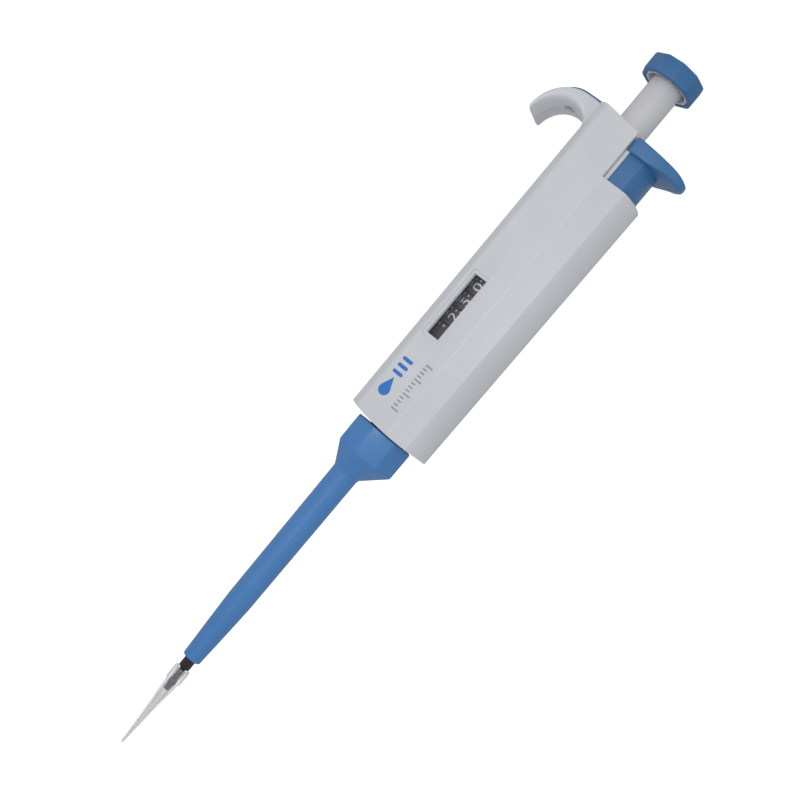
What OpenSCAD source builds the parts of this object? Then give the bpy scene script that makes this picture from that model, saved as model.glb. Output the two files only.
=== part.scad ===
// Single-channel variable-volume micropipette with a disposable tip on its nozzle.
// Origin: centre of the nozzle's end. +Z runs up the plunger axis, +X points to the thumb ejector,
// the finger hook is at -X and the volume window is on the -Y face. Millimetres.

/* [Casing] */
// Half width of the casing across its two flat faces
case_half = 10.8; // [10.7:0.1:11.2]
// Distance of the back face behind the plunger axis
case_back = 10.6; // [10.5:0.1:11]
// Wall thickness of the casing shells
wall = 1.3; // [1.1:0.1:1.4]
// Level of the lowest point of the casing's bottom edge
case_bottom = 101.4; // [101.2:0.1:101.6]
// Level of the casing's top at the back
case_top = 219.1; // [218.8:0.1:220]
// Level of the front cover's top edge
cover_top = 199.7; // [199:0.1:200.2]

/* [Plunger] */
// Radius of the plunger stem
stem_r = 5.3; // [5.2:0.05:5.35]
// Circumradius of the ten-sided push button
button_r = 9.5; // [9:0.1:10]
// Level of the push button's underside
button_bottom = 235.1; // [234:0.1:237]
// Height of the push button
button_h = 6.5; // [6:0.1:8]
// Radius of the piston
piston_r = 0.6; // [0.5:0.05:0.6]

/* [Counter] */
// Radius of the number drums
drum_r = 8; // [7.8:0.05:8]
// Height of one number drum
drum_h = 5.4; // [5.2:0.1:5.45]
// Step from one drum to the next
drum_step = 5.7; // [5.7:0.05:5.75]
// Left edge of the window opening
window_left = -4.7; // [-5:0.1:-4.5]
// Right edge of the window opening
window_right = -0.4; // [-0.6:0.1:0]

/* [Ejector] */
// Radius of the ejector sleeve's tube below the cone
tube_r = 4.4; // [4.3:0.05:4.6]
// Radius of the ejector sleeve at its lower end
tube_end_r = 3.05; // [3:0.05:3.3]
// Level of the ejector sleeve's lower end
sleeve_bottom = 12; // [12:0.1:13]
// Reach of the thumb plate from the plunger axis
plate_reach = 24.9; // [23:0.1:27]
// Radius of the ejector rod
rod_r = 1; // [0.8:0.1:1]

/* [Nozzle and tip] */
// Radius of the nozzle shaft above the tip
nozzle_r = 1.87; // [1.8:0.01:1.9]
// Outer radius of the tip's collar
collar_r = 2.65; // [2.5:0.05:2.8]
// Level of the top of the tip's collar
collar_top = 8; // [7.5:0.1:8]
// Distance of the tip's end below the nozzle's end
tip_drop = 20.7; // [18:0.1:25]

/* [Finger hook] */
// Width of the finger hook
hook_w = 14; // [12:0.5:14.2]
// Radius of the hook's outer curve
hook_out_r = 12.3; // [12.1:0.1:12.4]
// Radius of the hook's inner curve
hook_in_r = 9; // [8.8:0.1:9.2]

/* [Hidden] */

$fn = 64;
eps = 0.01;
free = 0.3;          // gap between pieces that move past each other
running = 0.08;      // radial gap of a running fit

// casing section
seam_x = 6.4;        // plane where the two shells meet
seam_gap = 0.05;
back_y = 7.2;        // half width of the back face
back_x = 7.1;        // where the side faces begin, behind the axis
cover_y = 9.3;       // half width of the cover's shoulders
nose_y = 4;          // half width of the cover's end face
cover_x = [13.3, 14.8];   // shoulder line at the bottom and at the top of the cover
nose_x = [16.2, 17.8];    // end face at the bottom and at the top of the cover
side_y = case_half - wall;
inner_back = case_back - wall;
top_fall = 2.8;      // drop of the casing's top from the back to the seam
smile_r = 100;       // radius of the curved bottom edge
smile_x = 8;         // where that curve is lowest
part_x = 5.65;       // inner face of the wall behind the ejector button
part_z = 192;        // lower edge of that wall

// window
window_low = 132.5;
window_high = 154.8;
recess = 1.2;        // border of the shallow recess round the opening
recess_deep = 0.4;

// levels of the lower works
plate_z = 103.6;     // end plate
plate_h = 1.8;
flange_z = plate_z + plate_h;
flange_r = 6.8;
flange_h = 1.6;
cup_z = flange_z + flange_h;
cup_r = 5;
cup_in_r = 3.8;
cup_top = 116;
nut_h = 3.5;
head_z = 128;        // underside of the piston head's flange
head_r = 8.1;
head_h = 2;
ring_z = 116.5;      // first stop ring
ring_h = 1.8;
ring_in_r = 6.9;

// counter
drum_z = 138.2;      // bottom of the lowest number drum
drum_bore = 4.4;
hub_r = 5.2;
spindle_r = 4;
spindle_flat = 3.5;
spindle_top = 172;
frame_low = 130.6;
frame_plate = 1.6;
frame_top = drum_z + 3 * drum_step + 0.3;
collar_z = frame_top + frame_plate + free;
pinion_at = [8.4, 5.9];
pinion_r = 2;
shaft_r = 0.6;

// ejector
rod_x = 9.4;
block_x = 7.6;
block_low = 188;
thumb_low = 210.4;
thumb_h = 4.6;
sleeve_top = case_bottom - free;
oct_x = 1.7;         // centre of the octagon, towards the ejector
oct_r = 10.5;
shoulder_z = 91.8;
neck_z = 84.9;
hollow_z = 93;
sleeve_bore = 2.85;
lip_bore = 2.2;
lip_top = 20;
taper_z = 34.8;
taper_r = 4.1;

// hook
hook_out = [-16.2, 206.8];
hook_in = [-18.2, 205];
hook_low = 205.5;
hook_cap_w = 12.6;

// ---------- shared shapes ----------

module ring(r_out, r_in, z, h) {
    translate([0, 0, z]) difference() {
        cylinder(r = r_out, h = h);
        translate([0, 0, -1]) cylinder(r = r_in, h = h + 2);
    }
}

// half outline of the rear casing: back face, two slanted corners, two sides, open or closed at x_end
function rear_outline(back, half, x_end, cut) = [
    [-back, -back_y + cut], [-back_x + cut, -half], [x_end, -half],
    [x_end, half], [-back_x + cut, half], [-back, back_y - cut]];

function cover_outline(x_start, half, shoulder, shoulder_half, nose, nose_half) = [
    [x_start, -half], [shoulder, -shoulder_half], [nose, -nose_half],
    [nose, nose_half], [shoulder, shoulder_half], [x_start, half]];

// everything below the curved bottom edge
module below_edge() {
    translate([smile_x, 0, 0]) difference() {
        translate([-40, -20, case_bottom - 10]) cube([80, 40, 13]);
        translate([0, 25, case_bottom + smile_r]) rotate([90, 0, 0]) cylinder(r = smile_r, h = 50, $fn = 180);
    }
}

// everything above the casing's sloping top, lowered by drop
module above_top(drop) {
    slope = top_fall / (case_back + seam_x);
    translate([0, 20, 0]) rotate([90, 0, 0]) linear_extrude(40) polygon([
        [-case_back - 10, case_top - drop + 10 * slope],
        [seam_x + 20, case_top - top_fall - drop - 20 * slope],
        [seam_x + 20, case_top + 20], [-case_back - 10, case_top + 20]]);
}

// cuts the +X side off what stands against the wall behind the ejector button
module behind_wall() {
    intersection() {
        children();
        translate([-20, -20, 150]) cube([20 + part_x - 0.2, 40, 100]);
    }
}

// round wire wound from level low to level high
module coil(mean_r, wire_r, low, high, turns) {
    sides = 6;
    steps = turns * 18;
    rise = high - low - 2 * wire_r;
    points = [for (i = [0:steps], k = [0:sides - 1])
        let (a = 360 * turns * i / steps, b = 360 * k / sides, r = mean_r + wire_r * cos(b))
        [r * cos(a), r * sin(a), low + wire_r + rise * i / steps + wire_r * sin(b)]];
    walls = [for (i = [0:steps - 1], k = [0:sides - 1])
        let (p = i * sides + k, q = i * sides + (k + 1) % sides)
        [p, p + sides, q + sides, q]];
    ends = [[for (k = [0:sides - 1]) k], [for (k = [sides - 1:-1:0]) steps * sides + k]];
    polyhedron(points, concat(walls, ends), convexity = 10);
}

module drum(level, hub_top) {
    difference() {
        union() {
            translate([0, 0, drum_z + level * drum_step]) cylinder(r = drum_r, h = drum_h);
            if (hub_top > 0) translate([0, 0, drum_z + level * drum_step])
                cylinder(r = hub_r, h = hub_top - drum_z - level * drum_step);
        }
        translate([0, 0, drum_z - 1]) cylinder(r = drum_bore, h = 40);
    }
}

module pinion(z) {
    translate([pinion_at.x, pinion_at.y, z]) difference() {
        union() {
            cylinder(r = pinion_r - 0.5, h = 1.6);
            for (k = [0:3]) rotate(k * 45) translate([-pinion_r, -0.3, 0]) cube([2 * pinion_r, 0.6, 1.6]);
        }
        translate([0, 0, -1]) cylinder(r = shaft_r + running, h = 4);
    }
}

// ---------- casing ----------

module rear_casing() {
    color("whitesmoke") difference() {
        translate([0, 0, case_bottom - 2]) linear_extrude(130)
            polygon(rear_outline(case_back, case_half, seam_x, 0));
        translate([0, 0, case_bottom - 3]) linear_extrude(part_z - case_bottom + 3)
            polygon(rear_outline(inner_back, side_y, seam_x + 1, 0.6));
        difference() {
            translate([0, 0, part_z - 1]) linear_extrude(40)
                polygon(rear_outline(inner_back, side_y, part_x, 0.6));
            above_top(1.6);
        }
        above_top(0);
        below_edge();
        translate([0, 0, case_top - 10]) cylinder(r = stem_r + 0.4, h = 20);
        window_cut();
    }
}

module window_cut() {
    translate([window_left, -case_half - 1, window_low])
        cube([window_right - window_left, wall + 3, window_high - window_low]);
    translate([window_left - recess, -case_half - 1, window_low - recess])
        cube([window_right - window_left + 1.6 * recess, 1 + recess_deep, window_high - window_low + 2 * recess]);
}

module front_cover() {
    color("whitesmoke") difference() {
        cover_body(case_half, cover_y, nose_y, seam_x + seam_gap, 0, case_bottom - 2, cover_top);
        cover_body(side_y, cover_y - 1.2, nose_y - 0.5, seam_x - 1, wall, case_bottom - 3, cover_top + 1);
        below_edge();
    }
}

// solid of the cover between two levels; its shoulders and end face lean outward towards the top
module cover_body(half, shoulder_half, nose_half, x_start, inset, low, high) {
    hull() for (end = [0, 1]) {
        lean = ((end == 0 ? low : high) - case_bottom) / (cover_top - case_bottom);
        shoulder = cover_x[0] + (cover_x[1] - cover_x[0]) * lean - inset;
        nose = nose_x[0] + (nose_x[1] - nose_x[0]) * lean - inset;
        translate([0, 0, end == 0 ? low : high - eps]) linear_extrude(eps)
            polygon(cover_outline(x_start, half, shoulder, shoulder_half, nose, nose_half));
    }
}

module window_lens() {
    color("lightcyan") union() {
        translate([window_left - 0.8, -side_y, window_low - 0.8])
            cube([window_right - window_left + 1.6, 0.7, window_high - window_low + 1.6]);
        translate([window_left, -case_half + 0.5, window_low])
            cube([window_right - window_left, wall - 0.4, window_high - window_low]);
    }
}

module hook_profile() {
    difference() {
        polygon([[hook_out.x - hook_out_r, hook_low], [hook_out.x - hook_out_r, hook_out.y + hook_out_r],
            [hook_out.x, hook_out.y + hook_out_r], [-case_back, case_top - 0.3], [-case_back, hook_low]]);
        difference() {
            translate([hook_out.x - hook_out_r - 1, hook_out.y]) square(hook_out_r + 1);
            translate(hook_out) circle(r = hook_out_r, $fn = 96);
        }
        translate(hook_in) circle(r = hook_in_r, $fn = 96);
    }
}

module hook_hole() {
    translate([-20, 0, hook_low]) cylinder(r = 1.75, h = 10.5);
}

module hook_cap_shape(r_in, r_out) {
    translate([hook_out.x, hook_cap_w / 2, hook_out.y]) rotate([90, 0, 0]) linear_extrude(hook_cap_w)
        intersection() {
            difference() {
                circle(r = r_out, $fn = 96);
                circle(r = r_in, $fn = 96);
            }
            polygon([[0, 0], [0, 20], [-11, 20]]);
        }
    translate([hook_out.x, hook_cap_w / 2, hook_out.y]) rotate([90, 0, 0]) linear_extrude(hook_cap_w)
        polygon([[0, r_in], [-case_back - hook_out.x, r_in - 0.2],
            [-case_back - hook_out.x, r_out - 0.2], [0, r_out]]);
}

module finger_hook() {
    color("whitesmoke") difference() {
        translate([0, hook_w / 2, 0]) rotate([90, 0, 0]) linear_extrude(hook_w) hook_profile();
        hook_hole();
        hook_cap_shape(hook_out_r - 0.6, hook_out_r + 1);
    }
}

module hook_cap() {
    color("steelblue") hook_cap_shape(hook_out_r - 0.6, hook_out_r + 0.4);
}

module end_plate() {
    color("whitesmoke") difference() {
        translate([0, 0, plate_z]) linear_extrude(plate_h) union() {
            polygon(rear_outline(inner_back - 0.05, side_y - 0.05, seam_x, 0.65));
            polygon(cover_outline(seam_x - 1, side_y - 0.05, cover_x[0] - wall - 0.1, cover_y - 1.3,
                nose_x[0] - wall - 0.1, nose_y - 0.6));
        }
        translate([0, 0, plate_z - 1]) cylinder(r = 3.95, h = plate_h + 2);
        translate([rod_x, 0, plate_z - 1]) cylinder(r = rod_r + free, h = plate_h + 2);
    }
}

module top_bushing() {
    color("silver") behind_wall() ring(8.4, stem_r + running, 204, 10.5);
}

module calibration_nut() {
    color("goldenrod") behind_wall() difference() {
        ring(8.2, stem_r + 0.35, 199.2, 4);
        for (a = [90:45:270]) rotate(a) translate([7.6, -0.5, 199]) cube([2, 1, 5]);
    }
}

module click_ring() {
    color("gray") behind_wall() difference() {
        ring(8.2, stem_r + 0.35, 196, 2.4);
        for (a = [100:40:260]) rotate(a) translate([6.4, -0.25, 195]) cube([3, 0.5, 4]);
    }
}

// ---------- volume counter ----------

module counter_frame() {
    color("dimgray") difference() {
        union() {
            frame_level(frame_low);
            frame_level(frame_top);
            translate([0, 0, frame_low]) linear_extrude(frame_top + frame_plate - frame_low) intersection() {
                difference() {
                    circle(r = 9.2);
                    circle(r = drum_r + 0.35);
                }
                polygon([[0, 0], [-20, 14], [-20, -14]]);
            }
        }
        translate([0, 0, frame_low - 1]) cylinder(r = spindle_r + 0.4, h = 5);
        translate([0, 0, frame_top - 1]) cylinder(r = hub_r + free, h = 5);
        translate([pinion_at.x, pinion_at.y, frame_low - 1]) cylinder(r = shaft_r, h = 40);
    }
}

module frame_level(z) {
    translate([0, 0, z]) cylinder(r = 8.3, h = frame_plate);
    translate([4, pinion_at.y - 1.5, z]) cube([6, 3, frame_plate]);
    translate([-9, -1.5, z]) cube([4, 3, frame_plate]);
}

module counter_blank() {
    color("#403c46") ring(drum_r, drum_bore, frame_low + frame_plate + eps, drum_z - frame_low - frame_plate - free);
}

module pinion_shaft() {
    color("silver") translate([pinion_at.x, pinion_at.y, frame_low])
        cylinder(r = shaft_r, h = frame_top + frame_plate - frame_low);
}

module drum_hundredths() {
    color("#403c46") drum(2, collar_z);
}

module drum_tenths() {
    color("#403c46") drum(1, 0);
}

module drum_units() {
    color("#403c46") drum(0, 0);
}

module transfer_pinion_upper() {
    color("gray") pinion(drum_z + 2 * drum_step - 0.9);
}

module transfer_pinion_lower() {
    color("gray") pinion(drum_z + drum_step - 0.9);
}

module drive_collar() {
    color("dimgray") translate([0, 0, collar_z]) difference() {
        cylinder(r = 7.2, h = 2.4);
        intersection() {
            translate([0, 0, -1]) cylinder(r = spindle_r + 0.35, h = 5);
            translate([-10, -spindle_flat - 0.15, -1]) cube([20, 2 * spindle_flat + 0.3, 5]);
        }
    }
}

module stop_nut() {
    color("goldenrod") difference() {
        union() {
            translate([0, 0, 165.4]) cylinder(r = 7.3, h = 4);
            translate([-8.9, -1.5, 165.4]) cube([3, 3, 4]);
        }
        translate([0, 0, 164]) cylinder(r = stem_r + 0.35, h = 7);
    }
}

// ---------- plunger ----------

module button_cap() {
    color("steelblue") difference() {
        translate([0, 0, button_bottom]) cylinder(r = button_r, h = button_h, $fn = 10);
        translate([0, 0, button_bottom - 1]) cylinder(r = button_r - 1.6, h = 4.5, $fn = 10);
    }
}

module button_liner() {
    color("whitesmoke") difference() {
        translate([0, 0, button_bottom + 0.2]) cylinder(r = button_r - 1.65, h = 3.25, $fn = 10);
        translate([0, 0, button_bottom - 1]) cylinder(r = 6.3, h = 3);
        translate([0, 0, button_bottom]) cylinder(r = stem_r, h = 6);
    }
}

module plunger_stem() {
    color("whitesmoke") translate([0, 0, spindle_top]) cylinder(r = stem_r, h = button_bottom + 3.4 - spindle_top);
}

module setting_spindle() {
    color("silver") translate([0, 0, head_z + head_h + 0.1]) intersection() {
        cylinder(r = spindle_r, h = spindle_top - head_z - head_h - 0.1);
        translate([-10, -spindle_flat, 0]) cube([20, 2 * spindle_flat, 60]);
    }
}

module piston() {
    color("silver") translate([0, 0, 70]) cylinder(r = piston_r, h = head_z - 1 - 70);
}

module piston_head() {
    color("silver") difference() {
        union() {
            translate([0, 0, head_z]) cylinder(r = head_r, h = head_h);
            translate([0, 0, head_z - 2.5]) cylinder(r = 2, h = 3);
        }
        translate([0, 0, head_z - 4]) cylinder(r = piston_r, h = 3);
    }
}

module plunger_spring() {
    color("silver") coil(5.9, 0.34, cup_z + nut_h, head_z, 6);
}

module first_stop_ring() {
    color("silver") ring(head_r, ring_in_r, ring_z, ring_h);
}

module blowout_spring() {
    color("silver") coil(7.5, 0.38, flange_z, ring_z, 4);
}

// ---------- nozzle shaft and seals ----------

module nozzle_shaft() {
    color("#2a2630") rotate_extrude() polygon([
        [0.35, 0], [0.85, 0], [0.95, 2.1], [0.95, 8.2], [nozzle_r, 8.6], [nozzle_r, 20.6], [2.5, 21.4],
        [2.5, 94.5], [3.9, 95.8], [3.9, flange_z], [flange_r, flange_z], [flange_r, cup_z], [cup_r, cup_z],
        [cup_r, cup_top], [cup_in_r, cup_top], [cup_in_r, cup_z - 0.4], [0.85, cup_z - 0.4], [0.85, 57],
        [0.35, 56]]);
}

module nozzle_ring() {
    color("#37333c") ring(1.25, 0.95, 2.2, 1.7);
}

module shaft_nut() {
    color("silver") difference() {
        ring(flange_r, cup_r, cup_z, nut_h);
        for (a = [0:60:300]) rotate(a) translate([6.3, -0.6, cup_z - 1]) cube([2, 1.2, nut_h]);
    }
}

module piston_seal() {
    color("ivory") ring(cup_in_r - 0.05, piston_r + 0.05, cup_z - 0.4, 2);
}

module seal_oring() {
    color("#202020") translate([0, 0, cup_z + 2.3]) rotate_extrude() translate([2.9, 0]) circle(r = 0.68, $fn = 24);
}

module seal_retainer() {
    color("dimgray") ring(cup_in_r - 0.02, 1.0, cup_z + 3, 2.2);
}

// ---------- ejector ----------

module ejector_button() {
    color("steelblue") union() {
        difference() {
            translate([0, 0, block_low]) linear_extrude(thumb_low - block_low)
                polygon(cover_outline(block_x, 9, 12.9, 7.7, 15.7, 3.3));
            translate([rod_x, 0, block_low - 1]) cylinder(r = rod_r, h = 9);
        }
        difference() {
            translate([0, 0, thumb_low]) linear_extrude(thumb_h) {
                polygon([[seam_x + 0.5, -10.6], [14.4, -9.2], [plate_reach - 4, -5.6],
                    [plate_reach - 4, 5.6], [14.4, 9.2], [seam_x + 0.5, 10.6]]);
                intersection() {
                    translate([plate_reach - 6.2, 0]) circle(r = 6.2);
                    translate([plate_reach - 5, -10]) square([10, 20]);
                }
            }
            translate([17, 12, thumb_low + thumb_h + 28.7]) rotate([90, 0, 0]) cylinder(r = 30, h = 24, $fn = 128);
        }
    }
}

module ejector_rod() {
    color("silver") translate([rod_x, 0, 97.6]) cylinder(r = rod_r, h = block_low + 8 - 97.6);
}

module rod_clip() {
    color("gray") translate([rod_x, 0, 0]) ring(rod_r + 0.24, rod_r, sleeve_top - 3.3, 0.7);
}

module spring_bracket() {
    color("dimgray") difference() {
        union() {
            translate([rod_x - 1.9, -2.6, 160.4]) cube([4.6, 5.2, 1.4]);
            for (s = [-1, 1]) translate([0, 0, 160.4]) linear_extrude(1.4) polygon([[rod_x - 1.9, s * 2.5],
                [rod_x + 0.1, s * 2.5], [rod_x + 0.1, s * (side_y - 0.82)], [rod_x - 1.9, s * (side_y - 0.44)]]);
        }
        translate([rod_x, 0, 159]) cylinder(r = rod_r + free, h = 5);
    }
}

module ejector_spring() {
    color("silver") translate([rod_x, 0, 0]) coil(1.65, 0.2, 161.8, block_low, 9);
}

module ejector_sleeve() {
    color("steelblue") difference() {
        union() {
            translate([oct_x, 0, shoulder_z]) cylinder(r = oct_r, h = sleeve_top - shoulder_z, $fn = 8);
            hull() {
                translate([oct_x, 0, shoulder_z]) cylinder(r = oct_r, h = eps, $fn = 8);
                translate([0, 0, neck_z]) cylinder(r = tube_r, h = eps, $fn = 32);
            }
            translate([0, 0, taper_z]) cylinder(r1 = taper_r, r2 = tube_r, h = neck_z - taper_z + 1);
            translate([0, 0, sleeve_bottom]) cylinder(r1 = tube_end_r, r2 = taper_r, h = taper_z - sleeve_bottom);
        }
        translate([0, 0, lip_top]) cylinder(r = sleeve_bore, h = 80);
        translate([0, 0, sleeve_bottom - 1]) cylinder(r = lip_bore, h = 20);
        translate([oct_x, 0, hollow_z]) cylinder(r = oct_r - 1.4, h = sleeve_top - 2.5 - hollow_z, $fn = 8);
        translate([0, 0, 90]) cylinder(r = 4.25, h = 20);
        translate([rod_x, 0, 90]) cylinder(r = rod_r, h = 20);
    }
}

// ---------- tip ----------

module tip() {
    color("azure") rotate_extrude() polygon([
        [0.2, -tip_drop], [0.45, -tip_drop], [1.5, -4.6], [1.83, -1.6], [2.1, 1.4], [2.15, 3.1],
        [collar_r, 3.5], [collar_r, collar_top], [1.9, collar_top], [1.6, 7.2], [1.33, 4.2],
        [1.33, 1.8], [1.2, -1.6], [0.85, -6]]);
}

rear_casing();
front_cover();
window_lens();
finger_hook();
hook_cap();
end_plate();
top_bushing();
click_ring();
calibration_nut();
counter_frame();
counter_blank();
pinion_shaft();
spring_bracket();
nozzle_shaft();
nozzle_ring();
shaft_nut();
seal_retainer();
seal_oring();
piston_seal();
piston();
piston_head();
plunger_spring();
button_cap();
button_liner();
plunger_stem();
setting_spindle();
drive_collar();
drum_hundredths();
drum_tenths();
drum_units();
transfer_pinion_upper();
transfer_pinion_lower();
stop_nut();
first_stop_ring();
blowout_spring();
ejector_button();
ejector_rod();
rod_clip();
ejector_spring();
ejector_sleeve();
tip();
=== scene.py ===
"""Looks of the micropipette: moulded shells, blue sleeve and button, printed drums and a clear tip."""
import math

import bpy
from mathutils import Matrix, Vector


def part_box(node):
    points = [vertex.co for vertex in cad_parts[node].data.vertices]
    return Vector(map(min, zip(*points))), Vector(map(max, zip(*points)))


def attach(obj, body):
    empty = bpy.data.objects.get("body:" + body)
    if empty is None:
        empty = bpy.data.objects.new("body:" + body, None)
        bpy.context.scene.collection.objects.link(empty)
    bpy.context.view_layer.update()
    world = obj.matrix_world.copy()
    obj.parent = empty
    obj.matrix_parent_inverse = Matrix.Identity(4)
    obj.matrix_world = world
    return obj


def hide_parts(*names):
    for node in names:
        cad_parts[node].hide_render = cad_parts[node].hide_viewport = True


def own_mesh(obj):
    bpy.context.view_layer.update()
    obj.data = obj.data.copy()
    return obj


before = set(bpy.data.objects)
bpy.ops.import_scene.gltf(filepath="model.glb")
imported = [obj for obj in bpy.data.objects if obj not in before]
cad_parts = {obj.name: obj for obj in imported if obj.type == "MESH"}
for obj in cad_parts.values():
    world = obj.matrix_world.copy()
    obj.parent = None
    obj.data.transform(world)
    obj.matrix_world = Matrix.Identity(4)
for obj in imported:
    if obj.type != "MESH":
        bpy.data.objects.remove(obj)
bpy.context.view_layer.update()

MM = 0.001

# ---------- sizes in millimetres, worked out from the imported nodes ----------


def edges(node):
    """Lowest and highest corner of a node, in millimetres."""
    low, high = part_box(node)
    return low / MM, high / MM


REAR_LOW, REAR_HIGH = edges("rear_casing")
COVER_LOW, COVER_HIGH = edges("front_cover")
LENS_LOW, LENS_HIGH = edges("window_lens")
HOOK_HIGH = edges("finger_hook")[1]
CAP_LOW, CAP_HIGH = edges("button_cap")
LEVER_LOW, LEVER_HIGH = edges("ejector_button")
SLEEVE_LOW, SLEEVE_HIGH = edges("ejector_sleeve")
TIP_LOW = edges("tip")[0]
STEM_LOW, STEM_HIGH = edges("plunger_stem")

HALF = REAR_HIGH.y                     # half width of the casing
WALL = 1.3
SEAM = REAR_HIGH.x                     # plane where the two shells meet
SEAM_GAP = COVER_LOW.x - SEAM
BOTTOM = COVER_LOW.z                   # lowest level of the curved bottom edge
TOP_FALL = 2.8
STEM_R = STEM_HIGH.x
WINDOW = (LENS_LOW.x + 0.8, LENS_HIGH.x - 0.8, LENS_LOW.z + 0.8, LENS_HIGH.z - 0.8)

# ---------- modelling helpers ----------


def clear_selection():
    if bpy.context.mode != "OBJECT":
        bpy.ops.object.mode_set(mode="OBJECT")
    bpy.ops.object.select_all(action="DESELECT")


def take(piece):
    """Makes the piece the only selected and active one."""
    clear_selection()
    piece.select_set(True)
    bpy.context.view_layer.objects.active = piece


def edit_all(piece):
    take(piece)
    bpy.ops.object.mode_set(mode="EDIT")
    bpy.ops.mesh.select_mode(type="VERT")
    bpy.ops.mesh.select_all(action="SELECT")


def rounded(outline, radii, steps=5):
    """The outline with its corners turned into arcs; radii is one number or one for each corner."""
    count = len(outline)
    if not isinstance(radii, (list, tuple)):
        radii = [radii] * count
    points = []
    for i, radius in enumerate(radii):
        corner = Vector(outline[i])
        back = (Vector(outline[i - 1]) - corner).normalized()
        ahead = (Vector(outline[(i + 1) % count]) - corner).normalized()
        half = back.angle(ahead) / 2
        reach = radius / math.tan(half)
        middle = corner + (back + ahead).normalized() * (radius / math.sin(half))
        start = corner + back * reach - middle
        end = corner + ahead * reach - middle
        sweep = start.angle_signed(end)
        for k in range(steps + 1):
            turned_by = Matrix.Rotation(-sweep * k / steps, 2)
            points.append(tuple(middle + turned_by @ start))
    return points


def around(radius, count=64, centre=(0, 0), first=0.0):
    """Points on a circle."""
    return [(centre[0] + radius * math.cos(first + math.tau * k / count),
             centre[1] + radius * math.sin(first + math.tau * k / count)) for k in range(count)]


def arc(centre, radius, start, end, steps):
    """Points of an arc, in degrees."""
    return [(centre[0] + radius * math.cos(math.radians(start + (end - start) * k / steps)),
             centre[1] + radius * math.sin(math.radians(start + (end - start) * k / steps)))
            for k in range(steps + 1)]


def arched(start, half, shoulder, shoulder_half, nose, steps=16):
    """Outline of a box whose front is one shallow arc between its shoulders."""
    rise = nose - shoulder
    radius = (shoulder_half ** 2 + rise ** 2) / (2 * rise)
    sweep = math.degrees(math.asin(shoulder_half / radius))
    return [(start, -half)] + arc((nose - radius, 0), radius, -sweep, sweep, steps) + [(start, half)]


def softened_outline(outline, end_radius, shoulder_radius):
    """Rounds the two back corners and the two shoulders of an arched outline."""
    count = len(outline)
    radii = [end_radius, shoulder_radius] + [0] * (count - 4) + [shoulder_radius, end_radius]
    arcs = []
    for i, radius in enumerate(radii):
        if radius:
            three = [outline[i - 1], outline[i], outline[(i + 1) % count]]
            arcs += rounded(three, [0.001, radius, 0.001], 4)[5:10]
        else:
            arcs.append(outline[i])
    return arcs


def place_ring(piece, first, ring):
    for vertex, (x, y, z) in zip(piece.data.vertices[first:], ring):
        vertex.co = (x * MM, y * MM, z * MM)


def volume(piece):
    """Signed volume inside the piece's skin; negative when its normals point inward."""
    skin = piece.data
    skin.calc_loop_triangles()
    total = 0.0
    for triangle in skin.loop_triangles:
        a, b, c = (skin.vertices[i].co for i in triangle.vertices)
        total += a.dot(b.cross(c)) / 6
    return total


def lofted(name, rings, closed=False):
    """A skin through rings of equal count: a circle, extruded once for each next ring.

    Closed joins the last ring to the first; otherwise both ends are filled.
    """
    clear_selection()
    count = len(rings[0])
    bpy.ops.mesh.primitive_circle_add(vertices=count, radius=MM, fill_type="NOTHING")
    piece = bpy.context.object
    piece.name = name
    piece.data.name = name
    place_ring(piece, 0, rings[0])
    edit_all(piece)
    for ring in rings[1:]:
        bpy.ops.mesh.extrude_region_move(TRANSFORM_OT_translate={"value": (0, 0, MM)})
        bpy.ops.object.mode_set(mode="OBJECT")
        place_ring(piece, len(piece.data.vertices) - count, ring)
        bpy.ops.object.mode_set(mode="EDIT")
    bpy.ops.object.mode_set(mode="OBJECT")
    ends = set(range(count)) | set(range(len(piece.data.vertices) - count, len(piece.data.vertices)))
    for edge in piece.data.edges:
        edge.select = edge.vertices[0] in ends and edge.vertices[1] in ends
    for index, vertex in enumerate(piece.data.vertices):
        vertex.select = index in ends
    bpy.ops.object.mode_set(mode="EDIT")
    bpy.ops.mesh.select_mode(type="EDGE")
    if closed:
        bpy.ops.mesh.bridge_edge_loops()
    else:
        bpy.ops.mesh.fill_holes(sides=0)
    bpy.ops.mesh.select_all(action="SELECT")
    bpy.ops.mesh.normals_make_consistent(inside=False)
    bpy.ops.object.mode_set(mode="OBJECT")
    if volume(piece) < 0:
        edit_all(piece)
        bpy.ops.mesh.flip_normals()
        bpy.ops.object.mode_set(mode="OBJECT")
    return piece


def prism(name, outline, low, high, top_outline=None):
    """A block on a flat outline, from level low to level high."""
    top_outline = top_outline or outline
    return lofted(name, [[(x, y, low) for x, y in outline], [(x, y, high) for x, y in top_outline]])


def slab(name, outline, left, right):
    """A block on an outline of (x, z) points, from y = left to y = right."""
    return lofted(name, [[(x, left, z) for x, z in outline], [(x, right, z) for x, z in outline]])


def box(name, low, high):
    corners = [(low[0], low[1]), (high[0], low[1]), (high[0], high[1]), (low[0], high[1])]
    return prism(name, corners, low[2], high[2])


def turned(name, profile, centre=(0, 0), count=96):
    """A turned part: a closed profile of (radius, level) points, carried round the axis."""
    rings = [[(x, y, z) for x, y in around(r, count, centre)] for r, z in profile]
    return lofted(name, rings, closed=True)


def combine(piece, tool, operation):
    take(piece)
    change = piece.modifiers.new("combine", "BOOLEAN")
    change.object = tool
    change.operation = operation
    change.solver = "EXACT"
    bpy.ops.object.modifier_apply(modifier=change.name)
    bpy.data.objects.remove(tool, do_unlink=True)
    return piece


def cut(piece, tool):
    return combine(piece, tool, "DIFFERENCE")


def join_on(piece, tool):
    return combine(piece, tool, "UNION")


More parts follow.
